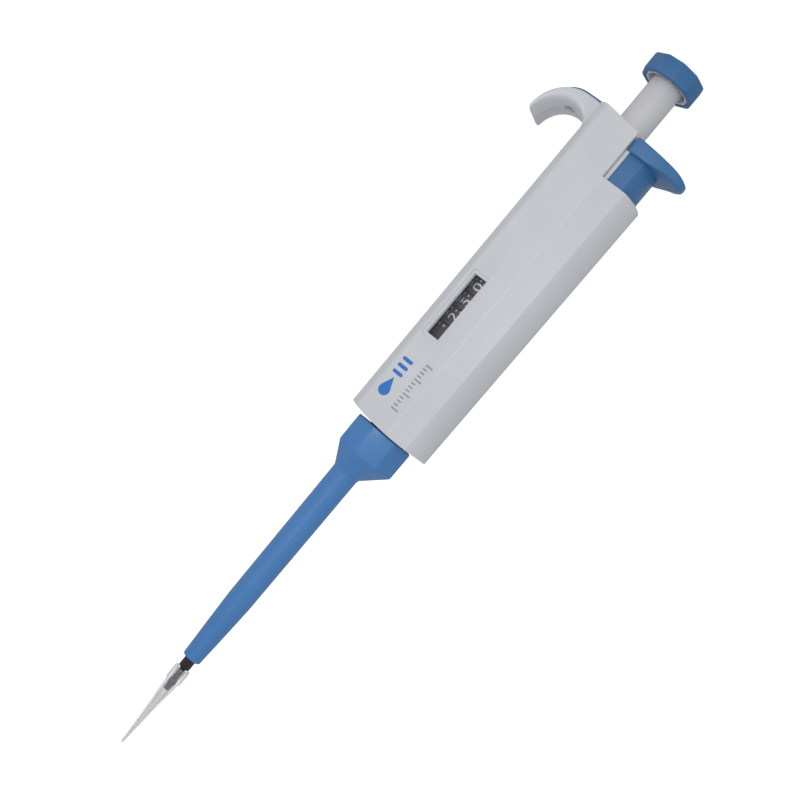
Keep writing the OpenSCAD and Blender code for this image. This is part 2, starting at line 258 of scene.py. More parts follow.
def soften(piece, width, steps=2, limit=32):
    """Rounds the sharp edges and shades the rest smooth."""
    take(piece)
    change = piece.modifiers.new("soften", "BEVEL")
    change.width = width * MM
    change.segments = steps
    change.limit_method = "ANGLE"
    change.angle_limit = math.radians(limit)
    change.use_clamp_overlap = True
    change.harden_normals = False
    bpy.ops.object.modifier_apply(modifier=change.name)
    bpy.ops.object.shade_smooth_by_angle(angle=math.radians(34))
    return piece


def finish(piece, body, slot, material, *nodes):
    """Gives the piece its material and body, and lets it stand for CAD nodes; the slot argument is not
    used.
    """
    piece.data.materials.clear()
    piece.data.materials.append(material)
    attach(piece, body)
    if nodes:
        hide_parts(*nodes)
    return piece


# ---------- materials ----------


def new_material(name):
    material = bpy.data.materials.new(name)
    material.use_nodes = True
    return material, material.node_tree.nodes, material.node_tree.links, \
        material.node_tree.nodes["Principled BSDF"]


def noise(nodes, links, scale, detail=3.0, stretch=(1, 1, 1)):
    place = nodes.new("ShaderNodeTexCoord")
    mapping = nodes.new("ShaderNodeMapping")
    mapping.inputs["Scale"].default_value = stretch
    grain = nodes.new("ShaderNodeTexNoise")
    grain.inputs["Scale"].default_value = scale
    grain.inputs["Detail"].default_value = detail
    links.new(place.outputs["Object"], mapping.inputs["Vector"])
    links.new(mapping.outputs["Vector"], grain.inputs["Vector"])
    return grain.outputs["Fac"]


def spread(nodes, links, source, low, high):
    """Maps a noise to a range of values."""
    change = nodes.new("ShaderNodeMapRange")
    change.inputs["From Min"].default_value = 0.3
    change.inputs["From Max"].default_value = 0.7
    change.inputs["To Min"].default_value = low
    change.inputs["To Max"].default_value = high
    links.new(source, change.inputs["Value"])
    return change.outputs["Result"]


def tone(nodes, links, source, dark, light):
    """Blends two colours by a noise."""
    mix = nodes.new("ShaderNodeMix")
    mix.data_type = "RGBA"
    mix.inputs["A"].default_value = (*dark, 1)
    mix.inputs["B"].default_value = (*light, 1)
    links.new(spread(nodes, links, source, 0, 1), mix.inputs["Factor"])
    return mix.outputs["Result"]


def relief(nodes, links, shader, source, strength, depth):
    bump = nodes.new("ShaderNodeBump")
    bump.inputs["Strength"].default_value = strength
    bump.inputs["Distance"].default_value = depth
    links.new(source, bump.inputs["Height"])
    links.new(bump.outputs["Normal"], shader.inputs["Normal"])


def moulded(name, dark, light, rough, grain=2600, depth=0.00003, coat=0.0, soft=0.0):
    """Injection-moulded plastic: faint flow variation, fine spark texture and uneven gloss."""
    material, nodes, links, shader = new_material(name)
    links.new(tone(nodes, links, noise(nodes, links, 55, 4), dark, light), shader.inputs["Base Color"])
    gloss = noise(nodes, links, 420, 5)
    links.new(spread(nodes, links, gloss, rough - 0.06, rough + 0.06), shader.inputs["Roughness"])
    relief(nodes, links, shader, noise(nodes, links, grain, 2), 0.35, depth)
    shader.inputs["Coat Weight"].default_value = coat
    shader.inputs["Coat Roughness"].default_value = 0.14
    shader.inputs["Subsurface Weight"].default_value = soft
    shader.inputs["Subsurface Radius"].default_value = (0.002, 0.0018, 0.0016)
    return material


def metal(name, dark, light, rough, stretch):
    """Turned or drawn metal with fine marks along one way."""
    material, nodes, links, shader = new_material(name)
    marks = noise(nodes, links, 900, 4, stretch)
    links.new(tone(nodes, links, marks, dark, light), shader.inputs["Base Color"])
    links.new(spread(nodes, links, marks, rough - 0.08, rough + 0.1), shader.inputs["Roughness"])
    relief(nodes, links, shader, marks, 0.3, 0.00001)
    shader.inputs["Metallic"].default_value = 1.0
    return material


def clear(name, colour, rough, thin, thick):
    """Clear plastic: nearly invisible face on, denser where the wall turns away, with faint flow marks."""
    material, nodes, links, shader = new_material(name)
    links.new(tone(nodes, links, noise(nodes, links, 240, 3), [c * 0.9 for c in colour], colour),
              shader.inputs["Base Color"])
    links.new(spread(nodes, links, noise(nodes, links, 700, 3), rough, rough + 0.08),
              shader.inputs["Roughness"])
    relief(nodes, links, shader, noise(nodes, links, 500, 2, (1, 1, 0.2)), 0.12, 0.00003)
    facing = nodes.new("ShaderNodeLayerWeight")
    facing.inputs["Blend"].default_value = 0.35
    density = nodes.new("ShaderNodeMapRange")
    density.inputs["To Min"].default_value = thin
    density.inputs["To Max"].default_value = thick
    links.new(facing.outputs["Facing"], density.inputs["Value"])
    links.new(density.outputs["Result"], shader.inputs["Alpha"])
    shader.inputs["IOR"].default_value = 1.45
    return material


WHITE = moulded("white_satin", (0.66, 0.67, 0.70), (0.70, 0.71, 0.74), 0.42, coat=0.22, soft=0.05)
# lighter than the casing white: a painted highlight along the seam bead, on top of its glossier finish
BEAD_HIGHLIGHT_WHITE = moulded("bead_painted_highlight_white", (0.78, 0.79, 0.82), (0.90, 0.91, 0.94), 0.25, 1200, 0.00004, 0.4)
STEM_WHITE = moulded("stem_white", (0.62, 0.61, 0.63), (0.66, 0.65, 0.67), 0.36, 1800, 0.00002)
LINER_WHITE = moulded("liner_white", (0.68, 0.68, 0.70), (0.73, 0.73, 0.75), 0.4)
BLUE = moulded("sleeve_blue", (0.058, 0.215, 0.520), (0.068, 0.235, 0.560), 0.36, 2200, 0.00006, 0.12)
LEVER_BLUE = moulded("lever_blue", (0.040, 0.165, 0.375), (0.048, 0.182, 0.402), 0.40, 2200, 0.00005, 0.08)
BUTTON_BLUE = moulded("button_blue", (0.038, 0.150, 0.355), (0.046, 0.168, 0.390), 0.45)
INLAY_BLUE = moulded("inlay_blue", (0.040, 0.110, 0.260), (0.050, 0.125, 0.285), 0.4)
NOZZLE = moulded("nozzle_black", (0.010, 0.008, 0.018), (0.018, 0.015, 0.028), 0.34, 1500, 0.00002, 0.05)
DRUM = moulded("drum_dark", (0.075, 0.066, 0.090), (0.095, 0.085, 0.110), 0.45, 1400, 0.00002)
INNER = moulded("inner_grey", (0.19, 0.19, 0.21), (0.26, 0.26, 0.28), 0.5)
RUBBER = moulded("seal_rubber", (0.018, 0.018, 0.02), (0.03, 0.03, 0.032), 0.65)
SEAL_WHITE = moulded("seal_white", (0.78, 0.77, 0.72), (0.84, 0.83, 0.79), 0.4)
# white of the printed digits and decimal points, also used for the dots painted as glints on the drum rims
INK_AND_GLINT_WHITE = moulded("print_white_and_painted_glints", (0.84, 0.85, 0.90), (0.92, 0.92, 0.96), 0.55, 3000, 0.00001)
MARK_INK = moulded("mark_blue", (0.018, 0.165, 0.580), (0.028, 0.190, 0.640), 0.4, 3000, 0.00001)
GREY_INK = moulded("mark_grey", (0.27, 0.25, 0.29), (0.34, 0.32, 0.36), 0.5, 3000, 0.00001)
STEEL = metal("turned_steel", (0.46, 0.46, 0.48), (0.62, 0.62, 0.64), 0.3, (0.3, 0.3, 6))
WIRE = metal("spring_wire", (0.38, 0.38, 0.40), (0.55, 0.55, 0.57), 0.35, (1, 1, 3))
BRASS = metal("turned_brass", (0.52, 0.36, 0.13), (0.68, 0.49, 0.20), 0.32, (0.3, 0.3, 6))
CLEAR_TIP = clear("tip_clear", (0.46, 0.45, 0.49), 0.22, 0.25, 0.62)
CLEAR_LENS = clear("lens_clear", (0.60, 0.62, 0.65), 0.06, 0.03, 0.25)

# ---------- camera ----------

AZIMUTH = math.radians(21.64)
DISTANCE = 384.0
EYE_LEVEL = 111.9
SIDE_SHIFT = 1.5
ROLL = math.radians(39.80)
FOCAL_LENGTH = 57.4
SENSOR_WIDTH = 36


def add_camera():
    """A level camera in front of the window, a little to the ejector's side, rolled about its axis."""
    toward = Vector((math.sin(AZIMUTH), -math.cos(AZIMUTH), 0))
    sideways = Vector((math.cos(AZIMUTH), math.sin(AZIMUTH), 0))
    upright = Vector((0, 0, 1))
    right = sideways * math.cos(ROLL) + upright * math.sin(ROLL)
    up = upright * math.cos(ROLL) - sideways * math.sin(ROLL)
    lens = bpy.data.cameras.new("camera")
    lens.lens = FOCAL_LENGTH
    lens.sensor_width = SENSOR_WIDTH
    lens.clip_start = 0.01
    eye = bpy.data.objects.new("camera", lens)
    bpy.context.scene.collection.objects.link(eye)
    turn = Matrix((right, up, toward)).transposed().to_4x4()
    place = (toward * DISTANCE - sideways * SIDE_SHIFT) * MM + upright * EYE_LEVEL * MM
    eye.matrix_world = Matrix.Translation(place) @ turn
    bpy.context.scene.camera = eye


# ---------- casing ----------

BACK = -REAR_LOW.x
REAR_CORNERS = [(-BACK, -7.2), (-7.1, -HALF), (SEAM, -HALF), (SEAM, HALF), (-7.1, HALF), (-BACK, 7.2)]
SMILE_X = 8.0
SMILE_R = 100.0


def bottom_cutter():
    """Everything below the curved bottom edge."""
    curve = [(x, BOTTOM + (x - SMILE_X) ** 2 / (2 * SMILE_R)) for x in range(-14, 26, 2)]
    return slab("below", [(-14, BOTTOM - 8)] + curve + [(24, BOTTOM - 8)], -16, 16)


def shrunk(corners, inset, open_x):
    """The outline's points moved inward by the wall, and on to open_x at the seam."""
    return [(open_x if abs(x - SEAM) < 0.1 else x + inset if x < -9 else x + inset / 2,
             y - math.copysign(inset, y) if abs(y) > 10 else y - math.copysign(inset / 2, y))
            for x, y in corners]


def rear_shell():
    slope = TOP_FALL / (SEAM + BACK)
    shell = prism("rear_shell", rounded(REAR_CORNERS, [1.6, 2.2, 0.06, 0.06, 2.2, 1.6]),
                  BOTTOM - 2, REAR_HIGH.z + 2)
    cut(shell, prism("hollow", shrunk(REAR_CORNERS, WALL, SEAM + 2), BOTTOM - 3, 192))
    upper = prism("hollow", shrunk(REAR_CORNERS, WALL, 5.65), 191, REAR_HIGH.z + 4)
    cut(upper, slab("roof", [(-20, REAR_HIGH.z - 1.6 + 9.4 * slope), (20, REAR_HIGH.z - 1.6 - 30.6 * slope),
                             (20, REAR_HIGH.z + 9), (-20, REAR_HIGH.z + 9)], -16, 16))
    cut(shell, upper)
    cut(shell, slab("above", [(-20, REAR_HIGH.z + 9.4 * slope), (20, REAR_HIGH.z - 30.6 * slope),
                              (20, REAR_HIGH.z + 9), (-20, REAR_HIGH.z + 9)], -16, 16))
    cut(shell, bottom_cutter())
    cut(shell, prism("stem_hole", around(STEM_R + 0.4), REAR_HIGH.z - 10, REAR_HIGH.z + 9))
    left, right, low, high = WINDOW
    opening = [(left - 0.5, -HALF - 2), (right, -HALF - 2),
               (right, -HALF + WALL + 1), (left, -HALF + WALL + 1),
               (left, -HALF + WALL - 0.1), (left - 0.5, -HALF + 0.3)]
    cut(shell, prism("opening", opening, low, high))
    frame_outline = [(left - 1.3, low - 1.1), (right + 0.65, low - 1.1), (right + 0.65, high + 1.1),
                     (left - 1.3, high + 1.1)]
    cut(shell, slab("recess", rounded(frame_outline, 0.5, 3), -HALF - 1, -HALF + 0.4))
    soften(shell, 0.14)
    return finish(shell, "handle", "white_casing", WHITE, "rear_casing")


def cover_ring(level, inset, start):
    """Outline of the front cover at one level; it leans outward towards the top."""
    lean = (level - BOTTOM) / (COVER_HIGH.z - BOTTOM)
    return arched(start, HALF - inset, 13.3 + 1.5 * lean - inset * 0.95,
                  9.3 - 0.92 * inset, 16.6 + 1.6 * lean - inset)


def cover_shell():
    low, high = BOTTOM - 2, COVER_HIGH.z
    start = SEAM + SEAM_GAP
    shell = prism("cover_shell", softened_outline(cover_ring(low, 0, start), 0.06, 0.8), low, high,
                  softened_outline(cover_ring(high, 0, start), 0.06, 0.8))
    cut(shell, prism("hollow", cover_ring(low - 1, WALL, SEAM - 2), low - 1, high + 1,
                     cover_ring(high + 1, WALL, SEAM - 2)))
    cut(shell, bottom_cutter())
    soften(shell, 0.16)
    return finish(shell, "handle", "white_casing", WHITE, "front_cover")


# ---------- finger hook ----------

HOOK_OUT = (-16.2, 206.8)
HOOK_OUT_R = 12.3
HOOK_IN = (-18.2, 205.0)
HOOK_IN_R = 9.0


def hook_section(inner, outer, half, squeeze=1.0):
    """A slice of the hook between an inner and an outer (x, z) point.

    Its corners are soft and a fine line runs along its middle.
    """
    inner, outer = Vector(inner), Vector(outer)
    middle = (inner + outer) / 2
    inner, outer = middle + (inner - middle) * squeeze, middle + (outer - middle) * squeeze
    thick = (outer - inner).length
    way = (outer - inner).normalized()
    top_y, top_t = min(1.3, half * 0.4), min(1.0, thick * 0.4)
    low_y, low_t = min(3.4, half * 0.6), min(2.2, thick * 0.52)
    quarter = [math.radians(15 * k) for k in range(7)]
    right = [(half - low_y + low_y * math.sin(a), low_t - low_t * math.cos(a)) for a in quarter]
    right += [(half - top_y + top_y * math.cos(a), thick - top_t + top_t * math.sin(a)) for a in quarter]
    line = [(0.16, 0.0), (0.0, -0.07 * squeeze), (-0.16, 0.0)]
    points = right + [(-y, t) for y, t in reversed(right)] + line[::-1]
    return [(inner.x + way.x * t, y, inner.y + way.y * t) for y, t in points]


def hook():
    half = HOOK_HIGH.y
    outer = ([(-BACK + 0.2, 218.8), (-11.6, 218.9), (-13.0, 219.0), (-14.6, 219.08)]
             + arc(HOOK_OUT, HOOK_OUT_R, 90, 181, 23))
    inner = [(-BACK + 0.2, 207.6), (-10.95, 209.3)] + arc(HOOK_IN, HOOK_IN_R, 40, 168, 25)
    rings = [hook_section(a, b, half) for a, b in zip(inner, outer)]
    end_in, end_out = Vector(inner[-1]), Vector(outer[-1])
    for turn in (22, 45, 65, 80):
        a = math.radians(turn)
        down = Vector((0.1, -1)) * 1.3 * math.sin(a)
        rings.append(hook_section(end_in + down, end_out + down,
                                  half - 2.6 * (1 - math.cos(a)), 1 - 0.8 * (1 - math.cos(a))))
    piece = lofted("hook", rings)
    cut(piece, prism("pin_mark", around(1.75, 32, (-20, 0)), 200, 216))
    take(piece)
    bpy.ops.object.shade_smooth_by_angle(angle=math.radians(40))
    return finish(piece, "handle", "white_casing", WHITE, "finger_hook")


def hook_inlay():
    """The blue inlay on top of the hook; it runs out towards the front."""
    half = HOOK_HIGH.y - 0.75
    steps = 12
    outer, inner = ([(-BACK + 0.1, HOOK_OUT[1] + HOOK_OUT_R + 0.25)],
                    [(-BACK + 0.1, HOOK_OUT[1] + HOOK_OUT_R - 0.8)])
    for k in range(steps + 1):
        a = math.radians(90 + 31 * k / steps)
        lift = 0.42 - 0.55 * (k / steps) ** 3
        outer.append((HOOK_OUT[0] + (HOOK_OUT_R + lift) * math.cos(a),
                      HOOK_OUT[1] + (HOOK_OUT_R + lift) * math.sin(a)))
        inner.append((HOOK_OUT[0] + (HOOK_OUT_R - 0.6) * math.cos(a),
                      HOOK_OUT[1] + (HOOK_OUT_R - 0.6) * math.sin(a)))
    piece = slab("hook_inlay", outer + inner[::-1], -half, half)
    soften(piece, 0.16)
    return finish(piece, "handle", "blue_plastic", INLAY_BLUE, "hook_cap")


# ---------- push button and stem ----------


def decagon(radius, round_by):
    corners = around(radius, 10)
    return rounded(corners, round_by, 5) if round_by else corners


def push_button():
    radius = CAP_HIGH.x
    low, high = CAP_LOW.z, CAP_HIGH.z
    levels = [(radius - 0.5, low), (radius - 0.12, low + 0.3), (radius, low + 0.8), (radius, high - 0.9),
              (radius - 0.2, high - 0.35), (radius - 0.75, high), (radius - 1.7, high),
              (radius - 2.1, high - 0.35), (radius - 4.5, high - 0.6)]
    rings = [[(x, y, z) for x, y in decagon(r, 1.3)] for r, z in levels]
    piece = lofted("push_button", rings)
    cut(piece, prism("socket", decagon(radius - 1.6, 0), low - 1, low + 3.5))
    soften(piece, 0.12, 2, 40)
    return finish(piece, "dial", "button_blue", BUTTON_BLUE, "button_cap")


def liner():
    low = CAP_LOW.z + 0.2
    piece = prism("liner", decagon(CAP_HIGH.x - 1.65, 0.3), low, low + 3.25)
    cut(piece, prism("mouth", around(6.7), low - 1, low + 2.6))
    cut(piece, prism("seat", around(STEM_R), low, low + 6))
    soften(piece, 0.15)
    return finish(piece, "dial", "white_stem", LINER_WHITE, "button_liner")


def stem():
    r, low, high = STEM_R, STEM_LOW.z, STEM_HIGH.z
    profile = [(0.6, low), (r - 0.4, low), (r, low + 0.4), (r, high - 0.4), (r - 0.4, high), (0.6, high)]
    piece = turned("stem", profile)
    soften(piece, 0.1)
    return finish(piece, "dial", "white_stem", STEM_WHITE, "plunger_stem")


# ---------- ejector ----------


def bow(start, bend, end, steps):
    """A smooth curve from start to end, drawn towards bend."""
    a, b, c = Vector(start), Vector(bend), Vector(end)
    return [tuple(a * (1 - t) ** 2 + b * 2 * t * (1 - t) + c * t * t)
            for t in (k / steps for k in range(steps + 1))]


def thumb_pad(root, reach, low, high):
    """The plate the thumb presses: thick at its root, thinner and drooping towards its round end."""
    side = rounded([(root, -10.6), (10.5, -9.93), (root, 0)], [0.9, 0.01, 0.01], 4)[:5]
    side += (bow((10.5, -9.93), (14.8, -9.1), (18.6, -7.1), 9)
             + bow((19.4, -6.68), (20.4, -6.1), (21.22, -5.66), 3))
    outline = side + arc((reach - 6.2, 0), 6.2, -64, 64, 26) + [(x, -y) for x, y in reversed(side)]
    centre = Vector((13, 0))

    def levels(x):
        t = min(max((x - 12) / 9, 0), 1)
        t = t * t * (3 - 2 * t)
        return (low + 0.6 * t, low + 0.1 + 1.25 * t,
                high + 0.6 - 0.06 * (x - 7) - 0.75 * max(0, (x - 19) / 6) ** 2)

    steps = [(0.3, 0, 0), (0.6, 0.05, 0), (0.8, 0.2, 0), (0.92, 0.5, 0),
             (0.965, 0.9, 0), (0.988, 1, 0.15), (0.998, 1, 0.4), (1, 1, 0.7)]
    tops = [(1, -0.75), (0.997, -0.5), (0.985, -0.22), (0.96, -0.05), (0.92, 0),
            (0.78, -0.1), (0.55, -0.26), (0.3, -0.34), (0.1, -0.36)]
    rings = []
    for share, blend, lift in steps:
        ring = []
        for point in outline:
            x, y = centre + (Vector(point) - centre) * share
            middle, edge, _ = levels(x)
            ring.append((x, y, middle + (edge - middle) * blend + lift))
        rings.append(ring)
    for share, lift in tops:
        ring = []
        for point in outline:
            x, y = centre + (Vector(point) - centre) * share
            ring.append((x, y, levels(x)[2] + lift))
        rings.append(ring)
    return lofted("thumb_pad", rings)


def thumb_lever():
    low, high = LEVER_LOW.z, LEVER_HIGH.z
    plate_low = high - 4.6
    block = prism("thumb_lever", softened_outline(arched(7.6, 9, 12.9, 7.7, 16.0), 0.5, 0.5),
                  low, plate_low + 1.2)
    soften(block, 0.3)
    finish(block, "ejector", "blue_plastic", LEVER_BLUE, "ejector_button")
    guide = box("guide_strip", (SEAM + 0.12, -9.5, low + 1), (7.7, 9.5, plate_low + 0.1))
    soften(guide, 0.1)
    finish(guide, "ejector", "white_casing", WHITE)
    pad = thumb_pad(LEVER_LOW.x, LEVER_HIGH.x, plate_low, high)
    take(pad)
    bpy.ops.object.shade_smooth_by_angle(angle=math.radians(34))
    return finish(pad, "ejector", "blue_plastic", LEVER_BLUE)


def octagon(radius, level):
    """An octagon with small round corners, 32 points, starting towards +X."""
    points = rounded(around(radius, 8, (1.7, 0)), 1.3, 3)
    return [(x, y, level) for x, y in points]


def round_ring(radius, level):
    """32 points round the axis, gathered in fours as the octagon's are."""
    spread_by = math.radians(12)
    angles = [math.radians(45 * k) + spread_by * (j - 1.5) for k in range(8) for j in range(4)]
    return [(radius * math.cos(a), radius * math.sin(a), level) for a in angles]


def sleeve():
    low, high = SLEEVE_LOW.z, SLEEVE_HIGH.z
    neck, shoulder = 84.9, 91.8
    rings = [round_ring(2.2, low), round_ring(2.85, low), round_ring(3.05, low + 0.25),
             round_ring(3.6, 23), round_ring(4.1, 34.8), round_ring(4.25, 60), round_ring(4.38, neck - 0.9),
             round_ring(4.46, neck - 0.2), round_ring(4.7, neck + 0.35),
             octagon(10.3, shoulder - 0.25), octagon(10.5, shoulder + 0.35), octagon(10.5, high - 0.3),
             octagon(10.2, high), round_ring(4.25, high), round_ring(4.25, 98.6),
             round_ring(2.85, 93), round_ring(2.85, 20), round_ring(2.2, 20)]
    piece = lofted("sleeve", rings, closed=True)
    take(piece)
    bpy.ops.object.shade_smooth_by_angle(angle=math.radians(22))
    return finish(piece, "ejector", "blue_plastic", BLUE, "ejector_sleeve")


# ---------- nozzle and tip ----------


def nozzle():
    profile = [(0.35, 0), (0.78, 0), (0.88, 0.12), (0.95, 2.1), (0.95, 8.2), (1.78, 8.45), (1.87, 8.7),
               (1.87, 20.6), (2.5, 21.4), (2.5, 94.5), (3.9, 95.8), (3.9, 105.4), (6.8, 105.4), (6.8, 107),
               (5, 107), (5, 116), (3.8, 116), (3.8, 106.6), (0.85, 106.6), (0.85, 57), (0.35, 56)]
    piece = turned("nozzle", profile, count=64)
    soften(piece, 0.06)
    return finish(piece, "handle", "nozzle_black", NOZZLE, "nozzle_shaft")


def nozzle_band():
    profile = [(0.95, 2.25), (1.15, 2.2), (1.25, 2.5), (1.2, 3.0), (1.25, 3.5), (1.12, 3.88), (0.95, 3.85)]
    piece = turned("nozzle_band", profile, count=64)
    soften(piece, 0.04)
    return finish(piece, "handle", "seal_rubber", RUBBER, "nozzle_ring")


def clear_tip():
    low = TIP_LOW.z
    profile = [(0.2, low), (0.38, low), (0.45, low + 0.12), (0.62, -18), (1.5, -4.6),
               (1.83, -1.6), (2.1, 1.4),
               (2.12, 3.0), (2.3, 3.2), (2.55, 3.25), (2.65, 3.45), (2.65, 7.8), (2.55, 8.0), (1.95, 8.0),
               (1.72, 7.7), (1.6, 7.0), (1.33, 4.2), (1.33, 1.8), (1.2, -1.6), (0.85, -6)]
    piece = turned("clear_tip", profile, count=64)
    rib = box("rib", (2.5, -0.16, 3.6), (2.8, 0.16, 7.6))
    take(rib)
    soften(rib, 0.06)
    ribs = [rib]
    for k in range(1, 6):
        copy = rib.copy()
        copy.data = rib.data.copy()
        bpy.context.scene.collection.objects.link(copy)
        copy.data.transform(Matrix.Rotation(math.radians(60 * k), 4, "Z"))
        ribs.append(copy)
    for each in ribs:
        join_on(piece, each)
    soften(piece, 0.05)
    return finish(piece, "fitted_tip", "clear_tip", CLEAR_TIP, "tip")


# ---------- volume drums ----------

DIGIT_ANGLE = -19.6     # where the shown digit stands, from the -Y direction towards +X
DRUM_R = edges("drum_units")[1].x


def wrap(piece, level, angle, lift):
    """Bends a flat mark, drawn in mm with x round the drum and y along it, on to the drum."""
    for vertex in piece.data.vertices:
        turn = math.radians(angle) + vertex.co.x / DRUM_R
        radius = (DRUM_R + lift + vertex.co.z) * MM
        height = (level + vertex.co.y) * MM
        vertex.co = (radius * math.sin(turn), -radius * math.cos(turn), height)


def digit(character):
    """A flat digit whose top points to -X and whose reading direction runs up the axis."""
    clear_selection()
    bpy.ops.object.text_add()
    writing = bpy.context.object
    writing.data.body = character
    writing.data.align_x = "CENTER"
    writing.data.align_y = "CENTER"
    writing.data.size = 5.3
    writing.data.resolution_u = 4
    writing.data.extrude = 0.02
    writing.data.offset = 0.03
    take(writing)
    bpy.ops.object.convert(target="MESH")
    piece = bpy.context.object
    xs = [v.co.x for v in piece.data.vertices]
    ys = [v.co.y for v in piece.data.vertices]
    middle = Vector(((min(xs) + max(xs)) / 2, (min(ys) + max(ys)) / 2, 0))
    for vertex in piece.data.vertices:
        flat = vertex.co - middle
        vertex.co = (-flat.y, flat.x, flat.z)
    return piece


def dot(width, height):
    clear_selection()
    bpy.ops.mesh.primitive_circle_add(vertices=16, radius=1, fill_type="NGON")
    piece = bpy.context.object
    edit_all(piece)
    bpy.ops.mesh.extrude_region_move(TRANSFORM_OT_translate={"value": (0, 0, 0.02)})
    bpy.ops.mesh.select_all(action="SELECT")
    bpy.ops.mesh.normals_make_consistent(inside=False)
    bpy.ops.object.mode_set(mode="OBJECT")
    for vertex in piece.data.vertices:
        vertex.co = (vertex.co.x * width / 2, vertex.co.y * height / 2, vertex.co.z)
    return piece


def joined(name, pieces):
    clear_selection()
    for each in pieces:
        each.select_set(True)
    bpy.context.view_layer.objects.active = pieces[0]
    bpy.ops.object.join()
    whole = bpy.context.object
    whole.name = name
    whole.data.name = name
    return whole


def drum_marks(name, body, low, characters, shown, with_point):
    """The printed digits and decimal points of one drum, with a ring of white dots painted as glints on its
    upper rim.
    """
    middle = low + 2.7
    marks = []
    # white dots painted as glints: light caught on the teeth at the drum's upper rim
    for k in range(20):
        glint_dot = dot(0.55, 0.75)
        wrap(glint_dot, low + 4.75, DIGIT_ANGLE - 3.5 + 18 * k, 0.0)
        marks.append(glint_dot)
    for k, character in enumerate(characters):
        sign = digit(character)
        wrap(sign, middle, DIGIT_ANGLE + 36 * (shown - k), 0.0)
        marks.append(sign)
        if with_point:
            point = dot(0.6, 0.7)
            wrap(point, low + 5.1, DIGIT_ANGLE + 9 + 36 * (shown - k), 0.0)
            marks.append(point)
    return finish(joined(name, marks), body, "drum_dark", INK_AND_GLINT_WHITE)


def drum_body(name, node, body, hub=False):
    low, high = edges(node)
    r, bore = DRUM_R, 4.4
    top = low.z + 5.4
    profile = [(bore, low.z), (r - 0.15, low.z), (r, low.z + 0.15), (r, top - 0.15), (r - 0.15, top)]
    if hub:
        profile += [(5.2, top), (5.2, high.z), (bore, high.z)]
    else:
        profile += [(bore, top)]
    piece = turned(name, profile)
    soften(piece, 0.06)
    finish(piece, body, "drum_dark", DRUM, node)
    return low.z


def drums():
    low = drum_body("hundredths_drum", "drum_hundredths", "fast_drum", hub=True)
    drum_marks("hundredths_digits", "fast_drum", low, "0505050505", 0, False)
    low = drum_body("tenths_drum", "drum_tenths", "tenths_drum")
    drum_marks("tenths_digits", "tenths_drum", low, "0123456789", 5, False)
    low = drum_body("units_drum", "drum_units", "units_drum")
    drum_marks("units_digits", "units_drum", low, "0123456789", 2, True)
    blank_low, blank_high = edges("counter_blank")
    profile = [(4.4, blank_low.z), (DRUM_R, blank_low.z), (DRUM_R, blank_high.z - 0.15),
               (DRUM_R - 0.15, blank_high.z), (4.4, blank_high.z)]
    blank = turned("blank_collar", profile)
    soften(blank, 0.06)
    finish(blank, "handle", "drum_dark", DRUM, "counter_blank")
    # white dots painted as glints on the teeth at the top rim of the blank collar
    small_marks = []
    for k in range(20):
        glint_dot = dot(0.6, 0.9)
        wrap(glint_dot, blank_high.z - 0.8, DIGIT_ANGLE - 3.5 + 18 * k, 0.0)
        small_marks.append(glint_dot)
    finish(joined("blank_painted_glints", small_marks), "handle", "drum_dark", INK_AND_GLINT_WHITE)


# ---------- printed marks on the casing ----------


def printed(name, outlines, material):
    """Thin ink on the window face from closed (x, z) outlines."""
    marks = [slab(name, outline, -HALF - 0.03, -HALF + 0.02) for outline in outlines]
    return finish(joined(name, marks), "handle", "white_casing", material)


def capsule(x0, x1, z, thick):
    """A bar with round ends, from x0 to x1 at level z."""
    r = thick / 2
    return arc((x1 - r, z), r, -90, 90, 6) + arc((x0 + r, z), r, 90, 270, 6)


def drop(x, z, radius, point):
    """A liquid drop lying along the axis, pointing up."""
    return arc((x, z), radius, 150, 390, 16) + [(x, z + point)]


def casing_marks():
    middle = -3.4
    outlines = [drop(middle, 111.4, 1.9, 4.6)]
    outlines += [capsule(middle - 1.9, middle + 1.9, 117.6 + 2.35 * k, 1.15) for k in range(3)]
    printed("drop_mark", outlines, MARK_INK)
    small_marks = []
    for k in range(13):
        long_one = k % 4 == 0
        small_marks.append(capsule(1.8, 4.6 if long_one else 3.4, 108.8 + 1.32 * k, 0.42))
    printed("level_ticks", small_marks, GREY_INK)


def seam_beads():
    """The fine raised line where the two shells meet, on both flat sides; its white is lighter than the
    casing's as a painted highlight.
    """
    sides = []
    for side in (-1, 1):
        y = sorted((side * (HALF - 0.2), side * (HALF + 0.05)))
        bead = box("seam_bead", (SEAM - 0.05, y[0], BOTTOM + 0.3),
                   (SEAM + SEAM_GAP + 0.09, y[1], COVER_HIGH.z - 0.1))
        soften(bead, 0.05)
        sides.append(bead)
    return finish(joined("seam_bead", sides), "handle", "white_casing", BEAD_HIGHLIGHT_WHITE)


# ---------- inner works kept as they are ----------

INNER_LOOKS = {
    WHITE: ("end_plate",),
    INNER: ("top_bushing", "click_ring", "counter_frame", "spring_bracket", "seal_retainer", "drive_collar",
            "transfer_pinion_upper", "transfer_pinion_lower"),
    STEEL: ("pinion_shaft", "shaft_nut", "piston", "piston_head", "setting_spindle", "first_stop_ring",
            "ejector_rod", "rod_clip"),
    BRASS: ("calibration_nut", "stop_nut"),
    RUBBER: ("seal_oring",),
    SEAL_WHITE: ("piston_seal",),
    CLEAR_LENS: ("window_lens",),
}


def dress_inner_works():
    for material, names in INNER_LOOKS.items():
        for name in names:
            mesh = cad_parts[name].data
            mesh.materials.clear()
            mesh.materials.append(material)


# spring, joint that presses it, travel of its free end in millimetres
SPRINGS = (("plunger_spring", "plunger_slide", 12.0),
           ("blowout_spring", "first_stop_slide", 3.0),
           ("ejector_spring", "ejector_slide", 9.0))


